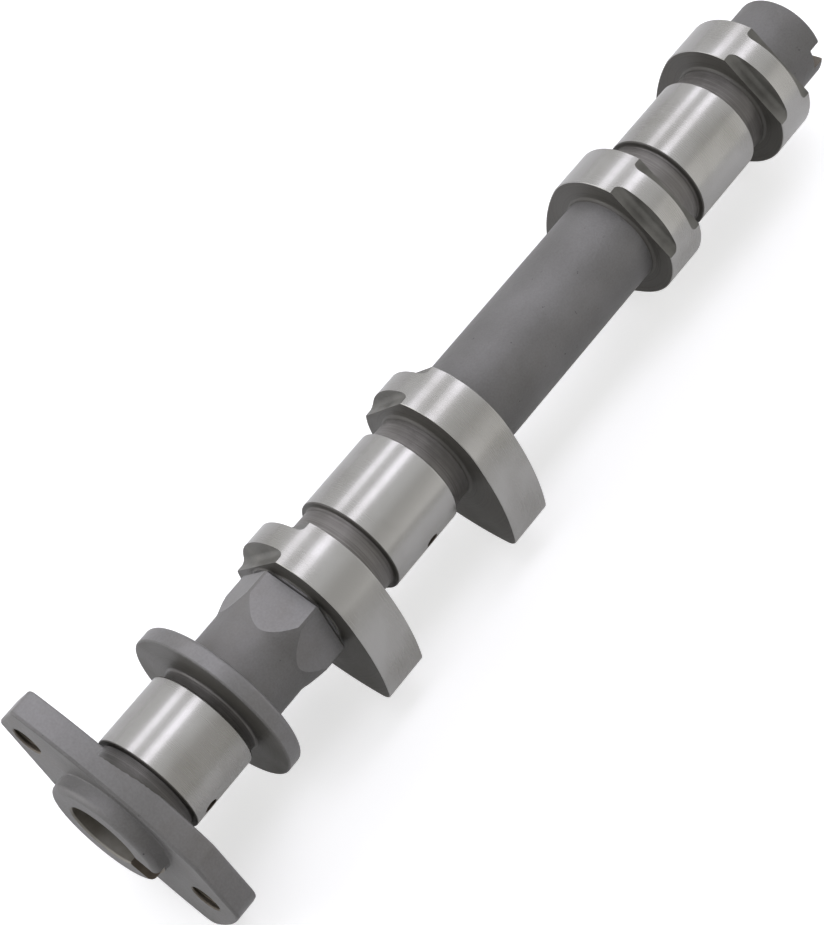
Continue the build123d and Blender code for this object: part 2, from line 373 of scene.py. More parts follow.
def flange_outline(flange):
    """The two-bolt plate seen along the shaft, its bolt holes on the local x axis."""
    left, right = -flange.length / 2, flange.length / 2
    wide_shoulder = (left + flange.wide_cut_length, flange.wide_shoulder)
    narrow_shoulder = (right - flange.narrow_cut_length, -flange.narrow_shoulder)
    wide = arc_points(wide_shoulder, (0.0, flange.wide_side), (right, flange.wide_full))
    narrow = arc_points(narrow_shoulder, (0.0, -flange.narrow_side), (left, -flange.narrow_full))
    low_left, high_left = narrow[-1], (left, flange.wide_cut)
    high_right, low_right = wide[-1], (right, -flange.narrow_cut)
    bow_point = (right + flange.far_bow, (flange.wide_full - flange.narrow_cut) / 2)
    far_end = arc_points(high_right, bow_point, low_right)
    points = []
    points += rounded_corner(low_left, high_left, wide_shoulder, flange.corner)
    points += wide[:-3]
    points += rounded_corner(wide[-4], high_right, far_end[3], flange.far_corner)
    points += far_end[4:-4]
    points += rounded_corner(far_end[-4], low_right, narrow_shoulder, flange.far_corner)
    points += narrow[:-1]
    points += rounded_corner(narrow[-3], low_left, high_left, flange.corner)
    return points


def outline_reach(points, turns, centre, steps=24):
    """Distance to a closed outline of points, with each side cut into steps."""
    dense = []
    for p, q in zip(points, points[1:] + points[:1]):
        for i in range(steps):
            dense.append((p[0] + (q[0] - p[0]) * i / steps, p[1] + (q[1] - p[1]) * i / steps))
    xy = np.array(dense)
    polar = np.arctan2(xy[:, 1], xy[:, 0])
    order = np.argsort(polar)
    return np.interp(from_turn(turns, centre), polar[order], np.hypot(xy[:, 0], xy[:, 1])[order],
                     period=2 * math.pi)


class Rings:
    """A skin that runs along the shaft from ring to ring. Each ring has a distance and a finish per turn."""

    def __init__(self, turns):
        self.turns = turns
        self.rings = []

    def add(self, x, reach, finish=CAST):
        """One ring. x, reach and finish may each be one value or one for each turn."""
        count = len(self.turns)
        self.rings.append((np.broadcast_to(x, count), np.broadcast_to(reach, count),
                           np.broadcast_to(finish, count)))

    def quarter(self, x, reach, radius, side, finish, steps):
        """A quarter round against a face, hollow where the radius is positive and bulging where it is negative."""
        for i in range(steps + 1):
            t = math.pi / 2 * (i / steps if side * radius > 0 else 1 - i / steps)
            self.add(x - side * radius * (1 - math.sin(t)), reach + radius * (1 - math.cos(t)), finish)

    def hollow(self, x, reach, radius, side, finish=CAST, steps=4, before=None):
        """A root fillet. side is 1 where the shaft runs into the face, -1 where it leaves it."""
        if before is not None:
            self.add(x - radius - HAIR, reach, before)
        self.quarter(x, reach, radius, side, finish, steps)

    def edge(self, x, reach, radius, side, finish=CAST, steps=4, face_finish=None):
        """A rounded outer edge. side is 1 where a face turns into the rim, -1 where the rim turns into a face."""
        hold = 4 * HAIR
        rim, face = (x + side * (radius + hold), reach), (x, reach - radius - hold)
        self.add(*(face if side > 0 else rim), finish if face_finish is None else face_finish)
        self.quarter(x, reach, -radius, side, finish, steps)
        self.add(*(rim if side > 0 else face), finish)

    def mesh(self, name):
        """The skin as a closed mesh. The first and last rings are single points."""
        count = len(self.turns)
        cosines, sines = np.cos(self.turns), np.sin(self.turns)
        points = [(float(self.rings[0][0][0]), 0.0, 0.0)]
        for x, reach, finish in self.rings[1:-1]:
            points += list(zip(x.tolist(), (reach * cosines).tolist(), (reach * sines).tolist()))
        points.append((float(self.rings[-1][0][0]), 0.0, 0.0))
        last = len(points) - 1
        rows = [[0] * count, *np.arange(1, last).reshape(-1, count).tolist(), [last] * count]
        faces, finishes = [], []
        for a, b, (_, _, finish) in zip(rows, rows[1:], self.rings[1:]):
            for j in range(count):
                k = (j + 1) % count
                faces.append(tuple(dict.fromkeys((a[j], a[k], b[k], b[j]))))
                finishes.append(int(finish[j]))
        mesh = bpy.data.meshes.new(name)
        mesh.from_pydata(points, [], faces)
        mesh.polygons.foreach_set("material_index", finishes)
        skin = bmesh.new()
        skin.from_mesh(mesh)
        bmesh.ops.remove_doubles(skin, verts=skin.verts, dist=1e-6)
        bmesh.ops.dissolve_degenerate(skin, edges=skin.edges, dist=1e-7)
        bmesh.ops.recalc_face_normals(skin, faces=skin.faces)
        skin.to_mesh(mesh)
        skin.free()
        return mesh


def ring_turns(settings, outline, step=2.0, fine=0.5, reach=14, least=0.05):
    """Turns for every ring: steps in degrees, with fine ones at the noses, and the flange's corners."""
    turns = list(np.radians(np.arange(0, 360, step)))
    for nose in (settings.lobes.first_nose, settings.lobes.first_nose + settings.lobes.phase):
        turns += [nose + math.radians(fine * i) for i in range(-reach, reach + 1)]
    turns += [flange_turn(settings) + math.atan2(y, x) for x, y in outline]
    even = np.sort(np.array(turns) % (2 * math.pi))
    keep = [even[0]]
    for value in even[1:]:
        if value - keep[-1] > math.radians(least):
            keep.append(value)
    return np.array(keep)


def add_front(rings, settings, outline):
    """The gallery, recess, boss and flange, from the inside of the shaft out to the first neck."""
    shaft, flange = settings.shaft, settings.flange
    front, boss_root, neck_root = -flange.boss_height, 0.3 * MM, 0.5 * MM
    recess_end = front + flange.recess_depth
    tip = (flange.recess_r - flange.gallery_r) / math.tan(DRILL_POINT)
    gallery_end = far_end(settings) - flange.gallery_wall
    for x, reach, finish in ((gallery_end, 0.0, BORE), (gallery_end, flange.gallery_r, BORE),
                             (recess_end + tip, flange.gallery_r, BORE), (recess_end, flange.recess_r, RECESS),
                             (front + flange.recess_mouth, flange.recess_r, RECESS),
                             (front, flange.recess_r + flange.recess_mouth, RECESS)):
        rings.add(x, reach, finish)
    rings.edge(front, flange.boss_r, flange.boss_edge, 1, CAST, 7)
    rings.hollow(0.0, flange.boss_r, boss_root, 1, CAST, 3)
    reach = outline_reach(outline, rings.turns, flange_turn(settings))
    rings.edge(0.0, reach, flange.edge, 1, CAST, 5)
    rings.edge(flange.thickness, reach, flange.edge, -1, MILLED, 5)
    rings.add(flange.thickness, (reach + shaft.shaft_r) / 2, SIDE)
    rings.hollow(flange.thickness, shaft.shaft_r, neck_root, -1, SIDE)


def add_journal(rings, shaft, start, end):
    """A ground journal between two necks."""
    root = 0.25 * MM
    rings.hollow(start, shaft.shaft_r, root, 1, TURNED, 2, TURNED)
    rings.edge(start, shaft.journal_r, shaft.journal_edge, 1, SIDE, 3)
    rings.add(start + 2 * shaft.journal_edge, shaft.journal_r, GROUND)
    rings.add(end - 2 * shaft.journal_edge, shaft.journal_r, GROUND)
    rings.edge(end, shaft.journal_r, shaft.journal_edge, -1, GROUND, 3)
    rings.hollow(end, shaft.shaft_r, root, -1, SIDE, 2)


def add_disc(rings, shaft):
    """The thrust disc."""
    end, front_root = shaft.disc_start + shaft.disc_width, 0.5 * MM
    rings.hollow(shaft.disc_start, shaft.shaft_r, front_root, 1, TURNED, before=TURNED)
    rings.edge(shaft.disc_start, shaft.disc_r, shaft.disc_edge, 1, CAST, face_finish=SIDE)
    rings.edge(end, shaft.disc_r, shaft.disc_back_edge, -1, MILLED, 8)
    rings.hollow(end, shaft.shaft_r, shaft.root, -1, SIDE)


def add_hexagon(rings, settings):
    """The spanner hexagon's barrel, swelling out of the shaft."""
    shaft, hexagon = settings.shaft, settings.hexagon
    end = hexagon_end(settings)
    start = end - hexagon.length
    slope = (hexagon.corner_r - shaft.shaft_r) / hexagon.taper
    blend, steps = 0.7 * MM, 7
    rings.add(start - blend, shaft.shaft_r, CAST)
    for i in range(1, steps + 1):
        along = 2 * blend * i / steps
        rings.add(start - blend + along, shaft.shaft_r + slope * along * along / (4 * blend), CAST)
    rings.add(start + hexagon.taper, hexagon.corner_r, CAST)
    rings.add(end, hexagon.corner_r, CAST)
    rings.add(end, shaft.shaft_r, SIDE)


def add_lobe(rings, settings, centre, nose, neck, root):
    """One lobe, before its rebates are cut. neck and root are the finish and fillet of the shaft before it."""
    shaft, lobes = settings.shaft, settings.lobes
    start, end = centre - lobes.width / 2, centre + lobes.width / 2
    reach = lobe_reach(lobes, from_turn(rings.turns, nose))
    rings.hollow(start, shaft.shaft_r, root, 1, SIDE, before=neck)
    rings.edge(start, reach, lobes.edge, 1, GROUND, 3, face_finish=SIDE)
    rings.add(centre, reach, GROUND)
    rings.edge(end, reach, lobes.edge, -1, GROUND, 3)
    rings.hollow(end, shaft.shaft_r, shaft.root, -1, SIDE)


def rebate_section(lobes, floor, side, steps=8):
    """A rebate's section, x running into the lobe from its face and y away from the axis."""
    outer, inner, radius = -0.2 * MM, lobes.rebate_depth - lobes.rebate_corner, lobes.rebate_corner
    turns = [math.pi / 2 * i / steps for i in range(1, steps + 1)]
    points = [(outer, floor), (inner, floor)]
    points += [(inner + radius * math.sin(t), floor + radius * (1 - math.cos(t))) for t in turns]
    points += [(lobes.rebate_depth, CLEAR), (outer, CLEAR)]
    return [(-side * x, y) for x, y in points]


def solid(cut, place, loops, finish):
    """One cutter, from loops of points that follow each other."""
    rows = [[cut.verts.new(place @ Vector(point)) for point in loop] for loop in loops]
    faces = [cut.faces.new(rows[0][::-1]), cut.faces.new(rows[-1])]
    for low, high in zip(rows, rows[1:]):
        for i in range(len(low)):
            k = (i + 1) % len(low)
            faces.append(cut.faces.new((low[i], low[k], high[k], high[i])))
    for face in faces:
        face.material_index = finish


def cut_slot(cut, x, direction, out, length, width, height):
    """A slot across the shaft."""
    made = bmesh.ops.create_cube(cut, size=1.0)["verts"]
    place = Matrix.Rotation(direction, 4, "X") @ Matrix.Translation((x, out, 0.0))
    bmesh.ops.transform(cut, matrix=place @ Matrix.Diagonal((height, length, width, 1.0)), verts=made)
    for face in {face for point in made for face in point.link_faces}:
        face.material_index = BORE


def cut_round(cut, place, profile, segments=40):
    """A turned hole. profile lists its distance along local z and its radius."""
    circle = [(math.cos(math.tau * i / segments), math.sin(math.tau * i / segments)) for i in range(segments)]
    solid(cut, place, [[(r * c, r * s, z) for c, s in circle] for z, r in profile], BORE)


def cut_oil_holes(cut, settings):
    """The holes from the gallery to the journals."""
    shaft, flange = settings.shaft, settings.flange
    second = shaft.journal_2_centre + flange.oil_offset
    mouth, beyond = shaft.journal_r - 0.15 * MM, 1 * MM
    for x, angle in ((flange.first_oil, flange.oil_turn), (second, flange.oil_turn),
                     (second + shaft.cylinder_spacing, flange.oil_turn + settings.lobes.phase)):
        outward = Vector((0.0, math.cos(angle), math.sin(angle)))
        place = Matrix.Translation((x, 0.0, 0.0)) @ outward.to_track_quat("Z", "X").to_matrix().to_4x4()
        cut_round(cut, place, [(0.0, flange.oil_r), (mouth, flange.oil_r), (mouth + beyond, flange.oil_r + beyond)])


def cut_bolt_holes(cut, settings):
    """The two holes through the flange, as wide as the thread's roots between their lips."""
    thread, thick = settings.thread, settings.flange.thickness
    r, root, lip, mouth, beyond = thread.hole_r, thread.root_r, thread.lip, thread.mouth, 1 * MM
    half = [(-beyond, r + mouth + beyond), (mouth, r), (lip, r), (lip, root)]
    for side in (-1, 1):
        place = Matrix.Rotation(flange_turn(settings), 4, "X")
        place = place @ Matrix.Translation((0.0, side * thread.bolt_spacing / 2, 0.0)) @ QUARTER_TURN
        cut_round(cut, place, half + [(thick - z, reach) for z, reach in half[::-1]])


def cut_flats(cut, settings):
    """The hexagon's six flats: a ring with a six-sided hole."""
    hexagon, end = settings.hexagon, hexagon_end(settings)
    low, high = end - hexagon.length - 1 * MM, end + hexagon.gap / 2
    flat, bevel, out = hexagon.half_flats, hexagon.end_edge, 16 * MM
    corners = [settings.lobes.first_nose + math.pi / 6 + i * math.pi / 3 for i in range(6)]
    loops = []
    for x, reach in ((low, flat), (end - bevel, flat), (end, flat - bevel), (high, flat - bevel), (high, out),
                     (low, out)):
        corner_r = reach / math.cos(math.pi / 6)
        loops.append([cut.verts.new((x, corner_r * math.cos(a), corner_r * math.sin(a))) for a in corners])
    for near, far in zip(loops, loops[1:] + loops[:1]):
        for i in range(6):
            cut.faces.new((near[i], near[i - 1], far[i - 1], far[i])).material_index = MILLED


def cut_rebates(cut, settings):
    """The rebates in both sides of each lobe, on the side away from its nose."""
    for centre, nose, floor, _ in lobe_places(settings):
        for side in (-1, 1):
            face = centre + side * settings.lobes.width / 2
            place = Matrix.Rotation(nose + math.pi, 4, "X") @ Matrix.Translation((face, 0.0, 0.0))
            section = rebate_section(settings.lobes, floor, side)
            solid(cut, place, [[(x, y, z) for x, y in section] for z in (-CLEAR, CLEAR)], REBATE)


def cut_relief(cut, settings):
    """The sloping relief behind the flange's narrow side, left a little uneven by its interrupted cut."""
    shaft, flange = settings.shaft, settings.flange
    neck_r, steps, high, rough = shaft.shaft_r + 0.02 * MM, 30, flange.thickness + 0.6 * MM, 0.1
    shake = random.Random(7)
    rows = []
    for i in range(steps + 1):
        part = i / steps
        along = flange.relief_start + (flange.relief_end - flange.relief_start) * part
        low = flange.thickness - flange.relief_depth * (1 - part) + shake.uniform(-rough, rough) * MM
        near = -math.sqrt(max(neck_r**2 - along**2, 0.0))
        rows.append([(low, along, near), (low, along, -CLEAR), (high, along, -CLEAR), (high, along, near)])
    solid(cut, Matrix.Rotation(flange_turn(settings), 4, "X"), rows[::-1], SIDE)


def cutters(settings):
    """The slots and holes that are cut across the rings, as one mesh."""
    shaft, flange = settings.shaft, settings.flange
    cut = bmesh.new()
    cut_slot(cut, -flange.boss_height, flange.key_turn, flange.boss_r, 2 * flange.boss_r, flange.key_width,
             2 * flange.key_depth)
    cut_slot(cut, far_end(settings), shaft.end_slot_turn, 0.0, 4 * shaft.shaft_r, shaft.end_slot_width,
             2 * shaft.end_slot_depth)
    for make in (cut_oil_holes, cut_bolt_holes, cut_flats, cut_rebates, cut_relief):
        make(cut, settings)
    bmesh.ops.recalc_face_normals(cut, faces=cut.faces)
    mesh = bpy.data.meshes.new("cutters")
    cut.to_mesh(mesh)
    cut.free()
    return mesh


def sharpen_hexagon(mesh, settings):
    """Keep the edges round the hexagon's flats crisp."""
    end = hexagon_end(settings)
    skin = bmesh.new()
    skin.from_mesh(mesh)
    for edge in skin.edges:
        middle = (edge.verts[0].co.x + edge.verts[1].co.x) / 2
        if end - settings.hexagon.length < middle < end and edge.calc_face_angle(0.0) > CRISP_FLATS:
            edge.smooth = False
    skin.to_mesh(mesh)
    skin.free()


def link(name, data):
    """A new object for a mesh, a lamp or a camera."""
    made = bpy.data.objects.new(name, data)
    bpy.context.scene.collection.objects.link(made)
    return made


def applied(made):
    """The object's mesh with its modifiers in it."""
    graph = bpy.context.evaluated_depsgraph_get()
    mesh = bpy.data.meshes.new_from_object(made.evaluated_get(graph))
    made.modifiers.clear()
    made.data = mesh
    return mesh


# Nodes


class Nodes:
    """Short calls for filling a node tree. A value that is a socket is linked, any other is set."""

    def __init__(self, tree):
        self.tree = tree

    def put(self, socket, value):
        """Link a socket, or give it a value."""
        if isinstance(value, bpy.types.NodeSocket):
            self.tree.links.new(value, socket)
        elif socket.type == "RGBA":
            socket.default_value = (*value[:3], 1.0)
        else:
            socket.default_value = value

    def add(self, kind, inputs=None, **settings):
        """A new node. Its settings come before its inputs."""
        made = self.tree.nodes.new(kind)
        for key, value in settings.items():
            setattr(made, key, value)
        for key, value in (inputs or {}).items():
            self.put(made.inputs[key], value)
        return made

    def math(self, operation, a, b, clamp=False):
        return self.add("ShaderNodeMath", {0: a, 1: b}, operation=operation, use_clamp=clamp).outputs[0]

    def spread(self, value, low=0.3, high=0.7, to_low=0.0, to_high=1.0, **settings):
        """A value moved from one range to another."""
        return self.add("ShaderNodeMapRange", {"Value": value, "From Min": low, "From Max": high,
                                               "To Min": to_low, "To Max": to_high}, **settings).outputs["Result"]

    def mix(self, factor, a, b, blend="MIX"):
        """Two colours mixed."""
        return self.add("ShaderNodeMix", {0: factor, 6: a, 7: b}, data_type="RGBA", blend_type=blend).outputs[2]


# Materials. Noise scales are in waves per metre, bump distances in metres.


class Finish(Nodes):
    """One finish of the iron, in the camshaft's own coordinates."""

    def __init__(self, name):
        self.material = bpy.data.materials.new(name)
        self.material.use_nodes = True
        super().__init__(self.material.node_tree)
        self.place = self.add("ShaderNodeTexCoord").outputs["Object"]

    def noise(self, scale, detail=2.0, vector=None, roughness=0.5):
        return self.add("ShaderNodeTexNoise", {"Vector": vector or self.place, "Scale": scale, "Detail": detail,
                                               "Roughness": roughness}).outputs["Fac"]

    def streaks(self, along, across, detail=2.0, roughness=0.5):
        """Noise with one scale along the shaft and another across it."""
        stretched = self.add("ShaderNodeMapping", {"Vector": self.place, "Scale": (along, across, across)})
        return self.noise(1.0, detail, stretched.outputs["Vector"], roughness)

    def blend(self, *parts):
        """A tone from 0 to 1, out of several noises. Each part is a noise, its range and its share."""
        tone = None
        for noise, low, high, share in parts:
            part = self.math("MULTIPLY", self.spread(noise, low, high), share)
            tone = part if tone is None else self.math("ADD", tone, part, clamp=True)
        return tone

    def stained(self, scale, share, base, colours):
        """The base colour with a few brown patches."""
        patches = self.spread(self.noise(scale, 4, roughness=0.65), 0.50, 0.72)
        return self.mix(self.math("MULTIPLY", patches, share), base, colours.stain)

    def bump(self, height, distance, strength, under=None):
        """Relief, over the relief that is under it."""
        inputs = {"Height": height, "Distance": distance, "Strength": strength}
        if under is not None:
            inputs["Normal"] = under
        return self.add("ShaderNodeBump", inputs).outputs["Normal"]

    def finished(self, base, noise, low, high, metallic, normal):
        """The finished material. Its roughness runs from low to high with a noise."""
        rough = self.spread(noise, 0.3, 0.7, low, high)
        shader = self.tree.nodes["Principled BSDF"].inputs
        for name, value in (("Base Color", base), ("Roughness", rough), ("Metallic", metallic), ("Normal", normal)):
            self.put(shader[name], value)
        return self.material


def as_cast_iron(colours):
    """Bare casting: fine grain, soft blotches and a few pits."""
    n = Finish("as_cast_iron")
    grain = n.noise(2600, 3)
    tone = n.blend((grain, 0.3, 0.7, 0.35), (n.noise(95, 4), 0.35, 0.65, 0.30), (n.noise(24, 2), 0.35, 0.65, 0.35))
    pits = n.spread(n.noise(900, 2, roughness=0.7), 0.22, 0.29)
    base = n.stained(55, 0.22, n.mix(tone, colours.cast_dark, colours.cast_light), colours)
    base = n.mix(pits, tuple(c * 0.45 for c in colours.cast_dark), base)
    coarse = n.bump(n.noise(700, 3), 0.00022, 0.35)
    pitted = n.bump(pits, 0.00012, 0.5, n.bump(grain, 0.00008, 0.5, coarse))
    return n.finished(base, grain, 0.46, 0.60, 0.35, pitted)


def milled_iron(colours):
    """Milled casting, on the hexagon, the flange's sides and the disc's rim: smoother and brighter."""
    n = Finish("milled_iron")
    grain, cloud = n.noise(2200, 3), n.noise(60, 3)
    tone = n.blend((grain, 0.3, 0.7, 0.4), (cloud, 0.35, 0.65, 0.6))
    base = n.stained(75, 0.28, n.mix(tone, colours.milled_dark, colours.milled), colours)
    normal = n.bump(grain, 0.00006, 0.4, n.bump(n.streaks(700, 150), 0.00006, 0.3))
    return n.finished(base, cloud, 0.38, 0.46, 0.55, normal)


def ground_iron(colours):
    """Ground bearing surface: bright, with fine lines round the shaft and a few dull patches."""
    n = Finish("ground_iron")
    lines, drift = n.streaks(5200, 90, 3, 0.6), n.streaks(160, 40)
    dull = n.spread(n.noise(70, 3), 0.42, 0.68)
    normal = n.bump(n.math("ADD", lines, n.math("MULTIPLY", drift, 0.6)), 0.000012, 0.14)
    duller = n.math("MULTIPLY", dull, 0.03)
    return n.finished(n.mix(dull, colours.ground, colours.ground_dull), lines, n.math("ADD", duller, 0.23),
                      n.math("ADD", duller, 0.27), 1.0, normal)


def side_face_iron(colours):
    """Faces across the shaft: darkened in their colour as painted shade, with faint rings from turning."""
    n = Finish("side_face_iron")
    across = n.add("ShaderNodeVectorMath", {0: n.place, 1: (0.0, 1.0, 1.0)}, operation="MULTIPLY").outputs[0]
    distance = n.add("ShaderNodeVectorMath", {0: across}, operation="LENGTH").outputs["Value"]
    ring_place = n.add("ShaderNodeCombineXYZ", {"X": n.math("MULTIPLY", distance, 2600.0)}).outputs[0]
    rings, patches = n.noise(1.0, 3, ring_place, 0.6), n.noise(130, 3)
    tone = n.math("MULTIPLY", n.spread(rings), n.spread(patches, 0.3, 0.75, 0.3, 1.0), clamp=True)
    normal = n.bump(rings, 0.00003, 0.4, n.bump(n.noise(1500, 2), 0.00005, 0.3))
    return n.finished(n.mix(tone, colours.side, colours.side_light), patches, 0.36, 0.50, 0.25, normal)


def turned_iron(colours):
    """Rough-turned necks: uneven rings round the shaft, with painted shade darkening the necks before the thrust disc.
    """
    n = Finish("turned_iron")
    # Painted shade on the necks between the flange, the first journal and the thrust disc: colour cut to darkest before
    # dark_to, back to full by light_from
    dark_to, light_from, darkest = 24 * MM, 28 * MM, 0.62
    rings, chatter = n.streaks(3400, 30, 4, 0.7), n.streaks(900, 420)
    tone = n.math("MULTIPLY", n.spread(rings, 0.35, 0.65), n.spread(chatter, 0.3, 0.7, 0.5, 1.0), clamp=True)
    along = n.add("ShaderNodeSeparateXYZ", {0: n.place}).outputs["X"]
    shade = n.spread(along, dark_to, light_from, darkest)
    base = n.mix(1.0, n.mix(tone, colours.turned, colours.turned_light),
                 n.add("ShaderNodeCombineColor", {0: shade, 1: shade, 2: shade}).outputs[0], "MULTIPLY")
    normal = n.bump(rings, 0.00012, 0.6, n.bump(chatter, 0.00012, 0.35))
    return n.finished(base, chatter, 0.36, 0.50, 0.6, normal)


def patchy(n, scale, dark, light, smooth, rough, metallic, normal):
    """A finish in two colours, rougher where it is lighter."""
    patches = n.noise(scale, 3)
    return n.finished(n.mix(n.spread(patches), dark, light), patches, smooth, rough, metallic, normal)


def bore_iron(colours):
    """Inside the holes: dark and a little brown."""
    n = Finish("bore_iron")
    light = tuple(c * 1.7 for c in colours.bore)
    return patchy(n, 260, colours.bore, light, 0.34, 0.48, 0.3, n.bump(n.noise(1800, 2), 0.00006, 0.35))


def rebate_iron(colours):
    """The cast rebates in the lobes: dark olive, with soft patches."""
    n = Finish("rebate_iron")
    normal = n.bump(n.noise(1900, 3), 0.00006, 0.4, n.bump(n.noise(500, 2), 0.00015, 0.3))
    return patchy(n, 170, colours.rebate, colours.rebate_light, 0.42, 0.54, 0.35, normal)


def recess_iron(colours):
    """The bored recess in the boss: grey-brown, with rings from boring."""
    n = Finish("recess_iron")
    rings = n.bump(n.streaks(2600, 60, 3, 0.6), 0.00006, 0.4)
    return patchy(n, 230, colours.recess, colours.recess_light, 0.38, 0.50, 0.35, rings)


def finishes(colours):
    """The camshaft's materials, in the order of their finishes."""
    makers = (as_cast_iron, ground_iron, side_face_iron, turned_iron, bore_iron, rebate_iron, recess_iron,
              milled_iron)
    return [bpy.data.materials.get(make.__name__) or make(colours) for make in makers]


# Thread


def thread_tree(material):
    """Geometry nodes for one helical thread in each of two holes."""
    tree = bpy.data.node_groups.new("hole_threads", "GeometryNodeTree")
    tree.interface.new_socket("Geometry", in_out="OUTPUT", socket_type="NodeSocketGeometry")
    for name in ("Root radius", "Crest radius", "Pitch", "Turns", "Start", "Spacing"):
        tree.interface.new_socket(name, in_out="INPUT", socket_type="NodeSocketFloat")
    tree.interface.new_socket("Steps", in_out="INPUT", socket_type="NodeSocketInt")
    n = Nodes(tree)
    given = n.add("NodeGroupInput").outputs
    spiral = n.add("GeometryNodeCurveSpiral", {
        "Resolution": given["Steps"], "Rotations": given["Turns"], "Start Radius": given["Root radius"],
        "End Radius": given["Root radius"], "Height": n.math("MULTIPLY", given["Turns"], given["Pitch"])})
    profile = n.add("GeometryNodeCurvePrimitiveCircle", {
        "Resolution": 4, "Radius": n.math("SUBTRACT", given["Root radius"], given["Crest radius"])})
    ridge = n.add("GeometryNodeCurveToMesh", {"Curve": spiral.outputs["Curve"],
                                              "Profile Curve": profile.outputs["Curve"], "Fill Caps": True})
    start = n.add("ShaderNodeCombineXYZ", {"Y": n.math("MULTIPLY", given["Spacing"], -0.5), "Z": given["Start"]})
    step = n.add("ShaderNodeCombineXYZ", {"Y": given["Spacing"]})
    holes = n.add("GeometryNodeMeshLine", {"Count": 2, "Start Location": start.outputs[0],
                                           "Offset": step.outputs[0]}, mode="OFFSET")
    both = n.add("GeometryNodeInstanceOnPoints", {"Points": holes.outputs["Mesh"], "Instance": ridge.outputs["Mesh"]})
    real = n.add("GeometryNodeRealizeInstances", {"Geometry": both.outputs["Instances"]})
    coated = n.add("GeometryNodeSetMaterial", {"Geometry": real.outputs["Geometry"], "Material": material})
    n.add("NodeGroupOutput", {"Geometry": coated.outputs["Geometry"]})
    return tree


# Operators


class CAMSHAFT_OT_shaft(bpy.types.Operator):
    """Build the whole camshaft as one finished skin over its CAD solid"""

    bl_idname = "camshaft.shaft"
    bl_label = "Camshaft"

    def execute(self, context):
        settings = context.scene.camshaft
        shaft, lobes = settings.shaft, settings.lobes
        outline = flange_outline(settings.flange)
        rings = Rings(ring_turns(settings, outline))
        add_front(rings, settings, outline)
        add_journal(rings, shaft, shaft.journal_1_start, shaft.journal_1_start + shaft.journal_1_width)
        add_disc(rings, shaft)
        add_hexagon(rings, settings)
        gap_root = settings.hexagon.gap - 0.15 * MM
        for i, (centre, nose, _, neck) in enumerate(lobe_places(settings)):
            root = shaft.root if i else gap_root
            add_lobe(rings, settings, centre, nose, neck, root)
            if i in (0, 2):
                middle = centre + lobes.offset
                add_journal(rings, shaft, middle - shaft.journal_width / 2, middle + shaft.journal_width / 2)
        end = far_end(settings)
        rings.edge(end, shaft.shaft_r, shaft.end_edge, -1, CAST, 6)
        rings.add(end, 0.0, SIDE)
        piece = link("finished_camshaft", rings.mesh("finished_camshaft"))
        tool = link("cutters", cutters(settings))
        for made in (piece, tool):
            for material in finishes(settings.colours):
                made.data.materials.append(material)
        cut = piece.modifiers.new("cuts", "BOOLEAN")
        cut.operation = "DIFFERENCE"
        cut.solver = "EXACT"
        cut.object = tool
        mesh = applied(piece)
        bpy.data.objects.remove(tool)
        mesh.polygons.foreach_set("use_smooth", [True] * len(mesh.polygons))
        mesh.set_sharp_from_angle(angle=CRISP_FROM)
        sharpen_hexagon(mesh, settings)
        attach(piece, "root")
        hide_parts("camshaft")
        return {"FINISHED"}


class CAMSHAFT_OT_threads(bpy.types.Operator):
    """Cut threads in the flange's two bolt holes"""

    bl_idname = "camshaft.threads"
    bl_label = "Bolt hole threads"

    def execute(self, context):
        settings = context.scene.camshaft
        thread, flange = settings.thread, settings.flange
        material = finishes(settings.colours)[BORE]
        piece = link("bolt_threads", bpy.data.meshes.new("bolt_threads"))
        grow = piece.modifiers.new("threads", "NODES")
        grow.node_group = thread_tree(material)
        space = 0.2 * MM
        turns = (flange.thickness - 2 * thread.lip - 2 * space) / thread.pitch
        values = {"Root radius": thread.root_r, "Crest radius": thread.hole_r, "Pitch": thread.pitch,
                  "Turns": turns, "Start": thread.lip + space, "Spacing": thread.bolt_spacing,
                  "Steps": thread.steps}
        for item in grow.node_group.interface.items_tree:
            if item.in_out == "INPUT":
                grow[item.identifier] = values[item.name]
        mesh = applied(piece)
        mesh.transform(Matrix.Rotation(flange_turn(settings), 4, "X") @ QUARTER_TURN)
        if not mesh.materials:
            mesh.materials.append(material)
        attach(piece, "root")
        return {"FINISHED"}


def floor_material(stage):
    """A pale floor that keeps the shadow and stays near white to the camera."""
    material = bpy.data.materials.new("pale_floor")
    material.use_nodes = True
    n = Nodes(material.node_tree)
    n.tree.nodes.remove(n.tree.nodes["Principled BSDF"])
    seen = n.add("ShaderNodeLightPath").outputs
    shade = n.spread(seen["Is Diffuse Ray"], 0.0, 1.0, stage.floor_shade, stage.floor_bounce)
    glow = n.math("ADD", n.math("MULTIPLY", seen["Is Camera Ray"], stage.floor_glow),
                  n.math("MULTIPLY", seen["Is Glossy Ray"], stage.floor_shine))
    both = n.add("ShaderNodeAddShader", {0: n.add("ShaderNodeBsdfDiffuse", {"Color": shade}).outputs[0],
                                         1: n.add("ShaderNodeEmission", {"Strength": glow}).outputs[0]})
    n.put(n.tree.nodes["Material Output"].inputs["Surface"], both.outputs[0])
    return material


